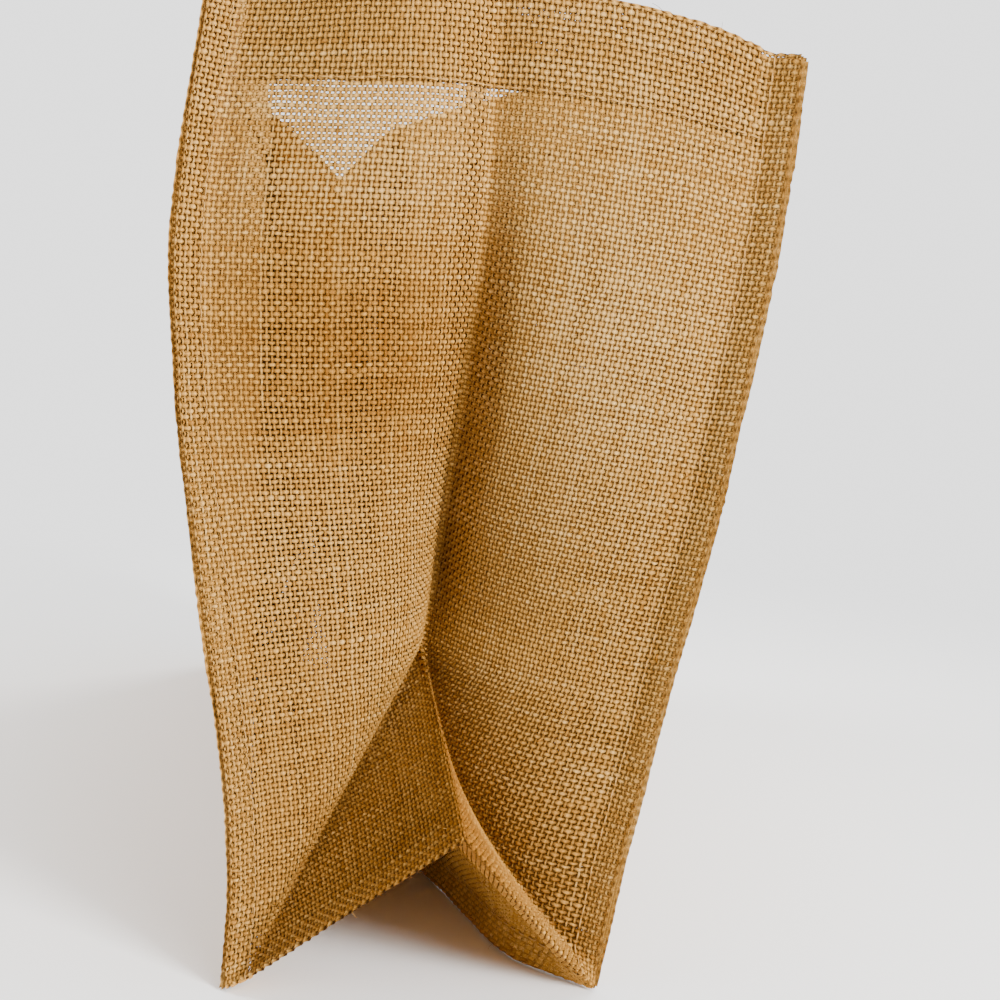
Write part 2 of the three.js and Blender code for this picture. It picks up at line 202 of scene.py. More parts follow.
class SoftLight(NamedTuple):
    """A soft square light: place and side in metres, power in watts."""

    name: str
    place: tuple[float, float, float]
    side: float
    power: float


class StrapRow(NamedTuple):
    """One station of a strap: along X, height over the rim, lean outward and twist in degrees."""

    x: float
    rise: float
    out: float
    turn: float


COLUMN_X = (185.0, 150.0, 75.0, 0.0, -110.0)

FRONT_ROWS = (
    PanelRow(0, 210, -54.5, -54.3, -54, -53, -52, -50, -47),
    PanelRow(0.125, 210, -54.5, -54.8, -55, -55, -54, -52, -48),
    PanelRow(0.25, 211, -59.5, -59, -58, -57, -56, -53, -49),
    PanelRow(0.375, 212, -66.5, -65, -62, -60, -58, -55, -50),
    PanelRow(0.5, 211, -73.5, -71.5, -67, -63, -61, -57, -52),
    PanelRow(0.625, 209, -79.5, -77, -72, -67, -64, -59, -54),
    PanelRow(0.75, 207, -82.5, -80, -75, -70, -66, -61, -56),
    PanelRow(0.875, 204, -80.5, -79, -75, -71, -67, -62, -58),
    PanelRow(1, 200, -76.5, -75.5, -73, -70, -67, -63, -60),
)
FRONT_RIM = Rim(314, 314.5, 315, 316, 317, 318, 318)

BACK_ROWS = (
    PanelRow(0, 209, 54, 37, 26.5, 8.5, 3, 2, 1),
    PanelRow(0.125, 207, 59.5, 49, 36, 17, 9, 5, 2),
    PanelRow(0.25, 207, 66, 57.5, 44, 26, 15, 8, 4),
    PanelRow(0.375, 208, 72, 64, 51, 33, 21, 11, 5),
    PanelRow(0.5, 211, 78, 70, 57, 40, 27, 14, 7),
    PanelRow(0.625, 213, 82.5, 75, 62, 46, 33, 18, 9),
    PanelRow(0.75, 214, 87, 79.5, 67, 51, 38, 22, 11),
    PanelRow(0.875, 214, 90, 83, 71, 55, 42, 25, 13),
    PanelRow(1, 213, 91.5, 85, 74, 58, 45, 28, 15),
)
BACK_RIM = Rim(310, 311, 312.5, 315, 317, 318, 318)

NEAR_VALLEY = (
    Valley(0.3125, 156, 1, 106, 14, 11),
    Valley(0.375, 154, 4, 125, 12, 11),
    Valley(0.5, 166, 5, 163, 9, 11),
    Valley(0.625, 178, 6, 202, 8, 8),
    Valley(0.75, 187, 6, 241, 8, 5),
    Valley(0.875, 194, 5, 280, 10, 3),
    Valley(1, 198, 3, 321, 11, 1),
)
FAR_VALLEY = (
    Valley(0.3125, -118, -23, 110, 1, 1),
    Valley(0.5, -115, -23, 162, 1.5, 1),
    Valley(0.75, -117, -23, 241, 2, 1.5),
    Valley(1, -125, -22, 319, 2, 2),
)
BASE_RIDGE = (
    Ridge(135, -12, 74, 3),
    Ridge(60, -19, 88, 2),
    Ridge(0, -22, 91, 1.5),
    Ridge(-60, -23, 89, 1.5),
    Ridge(-112, -23, 76, 1),
)
NEAR_TIP = np.array([247.0, 7.0, 66.0])
FAR_TIP = np.array([-220.0, -23.0, 92.0])
NEAR_BOW = np.array([-8.0, -13.0, 0.0])  # bend of the fold between beak and back half
NEAR_BEAK = 2.0  # swelling of a beak's sides
FAR_BEAK = 0.0

# Painted light and shade in the near side's tint: paler upper parts of both halves, a darker middle on the
# front half, a darker beak and a darker band along the valley crease.
PAINTED_LIGHT_PATCHES = (
    PaintedLightPatch(95, 148, 80, 42, 0.25),
    PaintedLightPatch(52, 60, 26, 38, 0.2),
    PaintedLightPatch(113, 62, 36, 42, -0.34),
    PaintedLightPatch(325, 110, 75, 75, -0.36),
    PaintedLightPatch(250, 108, 90, 12, -0.22),
)

TINT_UNEVEN = Uneven(0.05, 0.07, 0.06)
WIDTH_UNEVEN = Uneven(0.05, 0.09, 0.05)

STITCH_RINGS = (
    StitchRing(-1, 0.2, 0.7),
    StitchRing(-0.6, 1, 0.1),
    StitchRing(0, 1.1, 0),
    StitchRing(0.6, 1, 0.1),
    StitchRing(1, 0.2, 0.7),
)

LIGHTS = (
    SoftLight("key_light", (1.25, 0.85, 0.7), 0.45, 48.0),
    SoftLight("near_light", (0.52, 0.12, 0.4), 0.25, 1.75),
    SoftLight("low_light", (0.6, -0.32, 0.05), 0.15, 0.18),
    SoftLight("top_light", (-0.2, 0.0, 1.7), 1.4, 30.0),
    SoftLight("front_side_light", (-0.5, -1.4, 0.9), 0.6, 26.0),
    SoftLight("back_side_light", (-1.2, 1.1, 0.9), 0.6, 26.0),
)
LIGHT_AIM = (0.15, 0.0, 0.15)

STRAP_ROWS = (
    StrapRow(-70, -62, 0, 0),
    StrapRow(-70, -30, 0, 0),
    StrapRow(-70, 0, 0, 0),
    StrapRow(-69, 28, 2, 12),
    StrapRow(-64, 66, 6, 40),
    StrapRow(-48, 102, 10, 68),
    StrapRow(-22, 122, 12, 86),
    StrapRow(4, 126, 13, 90),
    StrapRow(30, 119, 12, 84),
    StrapRow(53, 97, 10, 64),
    StrapRow(66, 62, 6, 36),
    StrapRow(70, 27, 2, 10),
    StrapRow(70, 0, 0, 0),
    StrapRow(70, -30, 0, 0),
    StrapRow(70, -62, 0, 0),
)


def hermite(
    knots: Sequence[float] | np.ndarray, values: Sequence[float] | np.ndarray, at: np.ndarray
) -> np.ndarray:
    """Reads a smooth curve through values at knots.

    Args:
        knots: rising places.
        values: a value, or a row of values, for each knot.
        at: the places to read, held to the knots' range.

    Returns:
        The values there.
    """
    places = np.asarray(knots, float)
    table = np.asarray(values, float)
    t = np.clip(np.asarray(at, float), places[0], places[-1])
    i = np.clip(np.searchsorted(places, t, side="right") - 1, 0, len(places) - 2)
    low = np.maximum(np.arange(len(places)) - 1, 0)
    high = np.minimum(np.arange(len(places)) + 1, len(places) - 1)
    extra = (1,) * (table.ndim - 1)
    slope = (table[high] - table[low]) / (places[high] - places[low]).reshape(-1, *extra)
    span = (places[i + 1] - places[i]).reshape(t.shape + extra)
    u = (t - places[i]).reshape(t.shape + extra) / span
    start = (1 + 2 * u) * (1 - u) ** 2 * table[i] + u * (1 - u) ** 2 * span * slope[i]
    end = u * u * (3 - 2 * u) * table[i + 1] - u * u * (1 - u) * span * slope[i + 1]
    return start + end


def unit(vectors: np.ndarray) -> np.ndarray:
    """Scales the vectors in the last axis to length one."""
    return vectors / np.maximum(np.linalg.norm(vectors, axis=-1, keepdims=True), 1e-9)


def mix(a: np.ndarray, b: np.ndarray, t: np.ndarray) -> np.ndarray:
    """Blends points from a to b by shares of the way, with one row for each share."""
    share = np.asarray(t, float)[..., None]
    return a + (b - a) * share


def walked(points: np.ndarray) -> np.ndarray:
    """Measures how far along a line each of its points is."""
    return np.concatenate([[0], np.cumsum(np.linalg.norm(np.diff(points, axis=0), axis=1))])


def read_line(at: np.ndarray, places: np.ndarray, points: np.ndarray) -> np.ndarray:
    """Reads a line's points, or vectors that belong to them, at other places along it."""
    return np.stack([np.interp(at, places, column) for column in points.T], -1)


def put(name: str, data: bpy.types.ID) -> bpy.types.Object:
    """Makes an object and links it to the scene.

    Args:
        name: object name.
        data: its mesh, light or camera.

    Returns:
        The object, at the origin.
    """
    made = bpy.data.objects.new(name, data)
    bpy.context.scene.collection.objects.link(made)
    return made


@dataclass(frozen=True)
class PanelShape:
    """The middle surface of the front or back panel."""

    side: Side
    rows: tuple[PanelRow, ...]
    rim: Rim

    def roots(self, up: float) -> tuple[float, float]:
        """Where the cloth meets its two seam allowances.

        Args:
            up: share of the height.

        Returns:
            X at the near and at the far allowance.
        """
        tip = hermite([r.up for r in self.rows], [r.end for r in self.rows], np.array(up))
        near = float(tip) - ALLOWANCE * math.cos(math.radians(NEAR_FLARE))
        return near, FAR_END + ALLOWANCE * math.cos(math.radians(FAR_FLARE))

    def at(self, x: np.ndarray, up: float) -> np.ndarray:
        """Points of the surface at one height.

        Args:
            x: places along X.
            up: share of the height.

        Returns:
            One point for each place.
        """
        near, far = self.roots(up)
        knots = np.array([near, *COLUMN_X, far])[::-1]
        column = hermite([r.up for r in self.rows], np.array([r[2:] for r in self.rows]), np.array(up))
        y = hermite(knots, column[::-1], x)
        z = up * hermite(knots, np.array(self.rim)[::-1], x)
        return np.stack([np.asarray(x, float), y, z], -1)

    def inward(self, x: np.ndarray, up: float) -> np.ndarray:
        """Unit normals that point into the bag.

        Args:
            x: places along X.
            up: share of the height.

        Returns:
            One normal for each place.
        """
        along = self.at(np.asarray(x) + PROBE_X, up) - self.at(np.asarray(x) - PROBE_X, up)
        rising = self.at(x, min(up + PROBE_UP, 1.0)) - self.at(x, max(up - PROBE_UP, 0.0))
        return unit(np.cross(along, rising)) * self.side.value

    def flange(self, end: End, up: float, gap: float) -> tuple[np.ndarray, np.ndarray]:
        """A seam allowance, moved into the bag by a gap.

        Args:
            end: which end of the bag.
            up: share of the height.
            gap: distance from the panel's own middle surface.

        Returns:
            The allowance's free edge and its root.
        """
        flare = math.radians(NEAR_FLARE if end is End.NEAR else FAR_FLARE)
        reach = np.array([end.value * math.cos(flare), self.side.value * math.sin(flare), 0.0])
        facing = np.array([end.value * math.sin(flare), -self.side.value * math.cos(flare), 0.0])
        x = self.roots(up)[0 if end is End.NEAR else 1]
        root = self.at(np.array([x]), up)[0]
        between = unit(facing + self.inward(np.array([x - PROBE_IN * end.value]), up)[0])
        edge = root + reach * ALLOWANCE + facing * gap
        return edge, root + between * gap / max(float(between @ facing), SLANT_LIMIT)

    def flat_row(self, up: float, across: np.ndarray) -> np.ndarray:
        """One row of the panel by distance along the cloth from its near edge.

        Args:
            up: share of the height.
            across: distances from the near edge, 0 to the bag's width.

        Returns:
            One point for each distance.
        """
        near, far = self.roots(up)
        run = np.clip((across - ALLOWANCE) / (BAG_WIDTH - 2 * ALLOWANCE), 0, 1)
        points = self.at(near + (far - near) * run, up)
        for end, inset in ((End.NEAR, across), (End.FAR, BAG_WIDTH - across)):
            edge, root = self.flange(end, up, 0.0)
            points += np.clip(1 - inset / ALLOWANCE, 0, 1)[:, None] * (edge - root)
        return points


@dataclass(frozen=True)
class StripShape:
    """The middle surface of the strip that makes both sides and the base."""

    front: PanelShape
    back: PanelShape

    @staticmethod
    def half(
        edge: np.ndarray,
        root: np.ndarray,
        turn: np.ndarray,
        crook: float,
        middle: np.ndarray,
        bulge: np.ndarray,
        beak: np.ndarray,
        cells: np.ndarray,
        skew: float = 1.0,
    ) -> np.ndarray:
        """Half a section from its sewn edge to the middle fold.

        Args:
            edge: sewn edge.
            root: root of the allowance.
            turn: where the section crosses the slanting fold of the corner.
            crook: cells from the edge to that crossing.
            middle: the middle fold.
            bulge: swelling between root and turn, as a vector.
            beak: swelling between turn and middle, as a vector.
            cells: distances from the edge in cells.
            skew: over one, the swelling is nearer to the fold than to the seam.

        Returns:
            One point for each distance.
        """
        first = mix(edge, root, np.clip(cells, 0, 1))
        t = np.clip((cells - 1) / max(crook - 1, 1e-6), 0, 1)
        second = mix(root, turn, t) + (4 * t**skew * (1 - t**skew))[:, None] * bulge
        v = np.clip((cells - crook) / max(CELLS - crook, 1e-6), 0, 1)
        third = mix(turn, middle, v) + (4 * v * (1 - v))[:, None] * beak
        inner = np.where((cells <= crook)[:, None], second, third)
        return np.where((cells <= 1)[:, None], first, inner)

    @staticmethod
    def level_out(start: np.ndarray, goal: np.ndarray, end: End) -> np.ndarray:
        """Gives the level unit vector across a chord that points out of an end of the bag."""
        across = unit(np.array([goal[1] - start[1], start[0] - goal[0], 0.0]))
        return -across if across[0] * end.value < 0 else across

    @staticmethod
    def base_out(start: np.ndarray, goal: np.ndarray) -> np.ndarray:
        """Gives the unit vector across a chord of the base that points away from the inside."""
        across = unit(np.array([0.0, goal[2] - start[2], start[1] - goal[1]]))
        return -across if across[2] > 0 else across

    def fold(self, panel: PanelShape, end: End, cells: np.ndarray) -> np.ndarray:
        """The corner fold from a bottom corner to the beak's tip.

        Args:
            panel: the panel at that corner.
            end: which end of the bag.
            cells: distances from the corner in cells.

        Returns:
            One point for each distance.
        """
        corner, _ = panel.flange(end, 0.0, SEAM_SPACING)
        corner[2] = GROUND_GAP
        return mix(corner, NEAR_TIP if end is End.NEAR else FAR_TIP, cells / CELLS)

    def side_half(self, panel: PanelShape, end: End, height: float, cells: np.ndarray) -> np.ndarray:
        """Half a side gusset at one height along its seam.

        Args:
            panel: the panel that the half is sewn to.
            end: which end of the bag.
            height: distance from the corner along the seam.
            cells: distances from the sewn edge in cells.

        Returns:
            One point for each distance.
        """
        k = height / ALLOWANCE
        if k < 1:
            first = self.side_half(panel, end, ALLOWANCE, cells)
            start = self.fold(panel, end, cells)
            return start + (first - start) * k
        up = height / SEAM_HEIGHT
        valley = NEAR_VALLEY if end is End.NEAR else FAR_VALLEY
        row = hermite([v.up for v in valley], np.array(valley), np.array(max(up, valley[0].up)))
        apex = row[1:4]
        swell = row[4] if panel.side is Side.FRONT else row[5]
        edge, root = panel.flange(end, up, SEAM_SPACING)
        out = self.level_out(root, apex, end)
        none = np.zeros(3)
        skew = FRONT_SKEW if panel.side is Side.FRONT and end is End.NEAR else 1.0
        if k >= CELLS:
            points = self.half(edge, root, apex, CELLS, apex, out * swell, none, cells, skew)
            return points + self.settling(panel, end, up, cells)
        grown = (k - 1) / (CELLS - 1)
        _, foot = panel.flange(end, ALLOWANCE / SEAM_HEIGHT, SEAM_SPACING)
        tip, beak = (NEAR_TIP, NEAR_BEAK) if end is End.NEAR else (FAR_TIP, FAR_BEAK)
        turn = foot + (apex - foot) * grown
        if panel.side is Side.BACK and end is End.NEAR:
            turn = turn + NEAR_BOW * 4 * grown * (1 - grown)
        middle = tip + (apex - tip) * k / CELLS
        return self.half(edge, root, turn, k, middle, out * swell * grown, out * beak, cells, skew)

    @staticmethod
    def settling(panel: PanelShape, end: End, up: float, cells: np.ndarray) -> np.ndarray:
        """Small moves of a side gusset: the near valley's crease and arched rim, and the far rim's sag.

        Args:
            panel: the panel that the half is sewn to.
            end: which end of the bag.
            up: share of the seam's height.
            cells: distances from the sewn edge in cells.

        Returns:
            One move for each distance.
        """
        t = np.clip((cells - 1) / (CELLS - 1), 0, 1)
        rim = np.clip((up - RIM_FOOT) / (1 - RIM_FOOT), 0, 1) ** 2
        if end is End.FAR:
            return (FAR_SAG * rim * t)[:, None] * [0.0, 0.0, -1.0]
        deep = np.interp(up, CREASE_UPS, CREASE_SHARES)
        reach = CREASE_FRONT if panel.side is Side.FRONT else CREASE_BACK
        crease = np.exp(-(((CELLS - cells) * ALLOWANCE / reach) ** 2)) * deep
        moves = crease[:, None] * CREASE_MOVE
        if panel.side is Side.BACK:
            moves[:, 2] += RIM_ARCH * rim * 4 * t * (1 - t)
        return moves

    def base_half(self, panel: PanelShape, end: End, along: float, cells: np.ndarray) -> np.ndarray:
        """Half the base at one distance along its edge from an end.

        Args:
            panel: the panel that the half is sewn to.
            end: the end that the distance counts from, at most half the base.
            along: distance from the corner along the sewn edge.
            cells: distances from the sewn edge in cells.

        Returns:
            One point for each distance.
        """
        k = along / ALLOWANCE
        if k < 1:
            first = self.base_half(panel, end, ALLOWANCE, cells)
            start = self.fold(panel, end, cells)
            return start + (first - start) * k
        root_x = panel.roots(0.0)[0 if end is End.NEAR else 1]
        x = np.array([root_x - end.value * (along - ALLOWANCE)])
        edge = (panel.at(x, 0.0) + panel.inward(x, 0.0) * SEAM_SPACING)[0]
        edge[2] = GROUND_GAP
        up = ALLOWANCE / SEAM_HEIGHT
        root = (panel.at(x, up) + panel.inward(x, up) * SEAM_SPACING)[0]
        _, foot = panel.flange(end, up, SEAM_SPACING)
        _, low = panel.flange(end, 0.0, SEAM_SPACING)
        low[2] = GROUND_GAP
        pleat = low + (foot - low) * PLEAT_RISE
        pleat[1] -= panel.side.value * PLEAT_SPREAD
        if k < 2:
            root = pleat + (root - pleat) * (k - 1)
        ridge = BASE_RIDGE if end is End.NEAR else BASE_RIDGE[::-1]
        apex = np.array(ridge[0][:3], float)
        none = np.zeros(3)
        if k >= CELLS:
            share = (along - HALF) / (BAG_WIDTH - GUSSET_DEPTH)
            fold_x = apex[0] + (ridge[-1].x - apex[0]) * share
            row = hermite([r.x for r in BASE_RIDGE[::-1]], np.array(BASE_RIDGE[::-1]), np.array(fold_x))
            out = self.base_out(root, row[:3])
            return self.half(edge, root, row[:3], CELLS, row[:3], out * row[3], none, cells)
        grown = (k - 1) / (CELLS - 1)
        tip = NEAR_TIP if end is End.NEAR else FAR_TIP
        middle = tip + (apex - tip) * k / CELLS
        middle[2] -= 4 * k * (CELLS - k) * BEAK_SAG / CELLS**2
        turn = pleat + (apex - pleat) * grown
        out = self.base_out(root, apex)
        return self.half(edge, root, turn, k, middle, out * ridge[0].bulge * grown, none, cells)

    def row(self, run: float, across: np.ndarray) -> np.ndarray:
        """One row of the strip.

        Args:
            run: distance from the near rim along the strip.
            across: distances from the front edge, 0 to the gusset's depth.

        Returns:
            One point for each distance.
        """
        halves = []
        for panel, cells in (
            (self.front, np.minimum(across, HALF) / ALLOWANCE),
            (self.back, np.minimum(GUSSET_DEPTH - across, HALF) / ALLOWANCE),
        ):
            base = run - SEAM_HEIGHT
            if base <= 0:
                halves.append(self.side_half(panel, End.NEAR, -base, cells))
            elif base >= BAG_WIDTH:
                halves.append(self.side_half(panel, End.FAR, base - BAG_WIDTH, cells))
            elif base <= BAG_WIDTH / 2:
                halves.append(self.base_half(panel, End.NEAR, base, cells))
            else:
                halves.append(self.base_half(panel, End.FAR, BAG_WIDTH - base, cells))
        return np.where((across <= HALF)[:, None], halves[0], halves[1])


def soften(grid: np.ndarray, passes: int) -> np.ndarray:
    """Rounds the folds of a grid of points, leaving its border where it is.

    Args:
        grid: points by row and column.
        passes: how many times each point moves towards its neighbours.

    Returns:
        The rounded grid.
    """
    points = grid.copy()
    for _ in range(passes):
        beside = points[1:-1, :-2] + points[1:-1, 2:] + points[:-2, 1:-1] + points[2:, 1:-1]
        points[1:-1, 1:-1] += 0.5 * (beside / 4 - points[1:-1, 1:-1])
    return points


def soft_noise(shape: tuple[int, int], cell: tuple[float, float], rng: np.random.Generator) -> np.ndarray:
    """Smooth random values over a grid.

    Args:
        shape: rows and columns.
        cell: distance between independent values along rows and columns, in grid steps.
        rng: source of the values.

    Returns:
        Values of about unit spread.
    """
    coarse = rng.normal(size=(int(shape[0] / cell[0]) + 3, int(shape[1] / cell[1]) + 3))
    rows = hermite(np.arange(coarse.shape[0]), coarse, np.arange(shape[0]) / cell[0])
    return hermite(np.arange(coarse.shape[1]), rows.T, np.arange(shape[1]) / cell[1]).T


@dataclass(frozen=True)
class Threads:
    """Thread surfaces as arrays: millimetre points on the pattern's axes, quads, and two values a point."""

    points: np.ndarray
    quads: np.ndarray
    tint: np.ndarray
    lift: np.ndarray

    @staticmethod
    def join(parts: Sequence["Threads"]) -> "Threads":
        """Puts several sets of threads together.

        Args:
            parts: the sets.

        Returns:
            One set.
        """
        starts = np.cumsum([0, *(len(part.points) for part in parts[:-1])])
        return Threads(
            np.concatenate([part.points for part in parts]),
            np.concatenate([part.quads + start for part, start in zip(parts, starts)]),
            np.concatenate([part.tint for part in parts]),
            np.concatenate([part.lift for part in parts]),
        )

    def build(self, name: str, material: bpy.types.Material, slot: str) -> bpy.types.Object:
        """Makes one object of the threads.

        Args:
            name: object name.
            material: its material.
            slot: the record's material slot; not used.

        Returns:
            The object, riding on the bag.
        """
        mesh = bpy.data.meshes.new(name)
        mesh.vertices.add(len(self.points))
        resting = np.maximum(self.points + SHIFT, [-np.inf, -np.inf, FLOOR_GAP])
        mesh.vertices.foreach_set("co", (resting * MM).astype(np.float32).ravel())
        mesh.loops.add(self.quads.size)
        mesh.loops.foreach_set("vertex_index", self.quads.astype(np.int32).ravel())
        mesh.polygons.add(len(self.quads))
        mesh.polygons.foreach_set("loop_start", np.arange(0, self.quads.size, 4, dtype=np.int32))
        mesh.polygons.foreach_set("use_smooth", np.ones(len(self.quads), bool))
        for key, column in (("tint", self.tint), ("lift", self.lift)):
            layer = mesh.attributes.new(key, "FLOAT", "POINT")
            layer.data.foreach_set("value", column.astype(np.float32).ravel())
        mesh.update(calc_edges=True)
        mesh.materials.append(material)
        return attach(put(name, mesh), "root")


def linear(code: str) -> tuple[float, float, float, float]:
    """Turns an sRGB hex colour into linear values.

    Args:
        code: six hex digits.

    Returns:
        Linear red, green, blue and alpha.
    """
    parts = [int(code[k : k + 2], 16) / 255 for k in (0, 2, 4)]
    values = [p / 12.92 if p <= 0.04045 else ((p + 0.055) / 1.055) ** 2.4 for p in parts]
    return values[0], values[1], values[2], 1.0


def add_node(
    tree: bpy.types.NodeTree, kind: str, inputs: dict[str | int, object] | None = None, **facts: object
) -> bpy.types.Node:
    """Adds one shader node.

    Args:
        tree: where it goes.
        kind: node type.
        inputs: values or output sockets for its inputs, by name or number.
        facts: properties of the node.

    Returns:
        The node.
    """
    node = tree.nodes.new(kind)
    for key, value in facts.items():
        setattr(node, key, value)
    for key, value in (inputs or {}).items():
        if isinstance(value, bpy.types.NodeSocket):
            tree.links.new(value, node.inputs[key])
        else:
            node.inputs[key].default_value = value
    return node


@dataclass(frozen=True)
class YarnFinish:
    """Spun plant fibre: three tones from dark to light, the painted shade in the gaps and the size of a
    strand.
    """

    name: str
    dark: str
    middle: str
    light: str
    hollow_shade: str
    strand_mm: float
    bump_mm: float
    rough: float

    def material(self) -> bpy.types.Material:
        """Makes the material.

        Returns:
            A procedural material that reads the tint and lift of each thread, and paints shade where a
            thread lies low.
        """
        made = bpy.data.materials.new(self.name)
        made.use_nodes = True
        tree = made.node_tree
        shader = tree.nodes["Principled BSDF"]
        shader.inputs["Roughness"].default_value = self.rough
        shader.inputs["Specular IOR Level"].default_value = 0.1
        place = add_node(tree, "ShaderNodeTexCoord").outputs["Object"]
        tint = add_node(tree, "ShaderNodeAttribute", attribute_name="tint").outputs["Fac"]
        lift = add_node(tree, "ShaderNodeAttribute", attribute_name="lift").outputs["Fac"]
        strands = add_node(
            tree,
            "ShaderNodeTexNoise",
            {"Vector": place, "Scale": 1 / (self.strand_mm * MM), "Detail": 3.0, "Roughness": 0.6},
        ).outputs["Fac"]
        ends = {"From Min": 0.3, "From Max": 0.7, "To Min": -STRAND_SPREAD, "To Max": STRAND_SPREAD}
        spread = add_node(tree, "ShaderNodeMapRange", {"Value": strands, **ends}).outputs["Result"]
        tone = add_node(tree, "ShaderNodeMath", {0: tint, 1: spread}, operation="ADD").outputs["Value"]
        ramp = add_node(tree, "ShaderNodeValToRGB", {"Fac": tone})
        ramp.color_ramp.elements[0].color = linear(self.dark)
        ramp.color_ramp.elements[1].color = linear(self.light)
        ramp.color_ramp.elements.new(0.5).color = linear(self.middle)
        # Painted shade: a thread that lies low at a crossing, on whichever side of the cloth is seen, takes
        # the hollow shade colour.
        behind = add_node(tree, "ShaderNodeNewGeometry").outputs["Backfacing"]
        facing = add_node(tree, "ShaderNodeMath", {0: behind, 1: -2.0, 2: 1.0}, operation="MULTIPLY_ADD")
        seen = add_node(tree, "ShaderNodeMath", {0: lift, 1: facing.outputs["Value"]}, operation="MULTIPLY")
        ends = {"From Min": -WEFT_LIFT, "From Max": 0.5}
        depth = add_node(tree, "ShaderNodeMapRange", {"Value": seen.outputs["Value"], **ends})
        tones = {"Factor": depth.outputs["Result"], "A": linear(self.hollow_shade), "B": ramp.outputs["Color"]}
        mixed = add_node(tree, "ShaderNodeMix", tones, data_type="RGBA").outputs[2]
        bump = add_node(
            tree, "ShaderNodeBump", {"Height": strands, "Distance": self.bump_mm * MM, "Strength": 0.8}
        ).outputs["Normal"]
        tree.links.new(mixed, shader.inputs["Base Color"])
        tree.links.new(bump, shader.inputs["Normal"])
        return made


# Jute yarn, spun from coarse bast fibre and left undyed: matt golden brown with pale knobs, and painted
# shade that darkens the hollows.
JUTE = YarnFinish("jute_yarn", "935c18", "cb9443", "f2c578", "402405", 0.36, 0.14, 0.88)
# Jute webbing, woven close from paler yarn: matt straw colour with little painted shade between its
# threads.
WEBBING = YarnFinish("jute_webbing_yarn", "b08a55", "cdab78", "e4cba0", "97713f", 0.4, 0.1, 0.85)
# Cotton sewing thread, twisted fine: smoother than the yarn and near its colour, so stitches stay quiet.
THREAD = YarnFinish("sewing_thread", "a87c42", "bd9252", "cda566", "966c34", 0.3, 0.05, 0.7)


@dataclass(frozen=True)
class Weave:
    """A plain weave: the share of the spacing that threads fill, their waves in mm, and their crown.

    The crown is a share of a thread's half width. A thin straight warp with a fat wavy weft looks like
    knobs between fine lines, as in jute sacking.
    """

    form: Ribbon
    warp_cover: float
    weft_cover: float
    warp_wave: float
    weft_wave: float
    crown: float


# The near side: crowned threads with open gaps, which let light through.
OPEN_WEAVE = Weave(Ribbon.CROWNED, 0.5, 0.7, 0.3, 0.58, 0.5)
# Panels, far side and hems: threads that meet, so little shows through.
CLOSE_WEAVE = Weave(Ribbon.FLAT, 0.92, 1.24, 0.12, 0.22, 0.0)
# The base: nearly closed, with more relief for the light that grazes it.
BASE_WEAVE = Weave(Ribbon.FLAT, 0.8, 1.2, 0.28, 0.5, 0.0)
# The straps: firm and even.
WEBBING_WEAVE = Weave(Ribbon.CROWNED, 0.98, 0.98, 0.2, 0.2, 0.22)


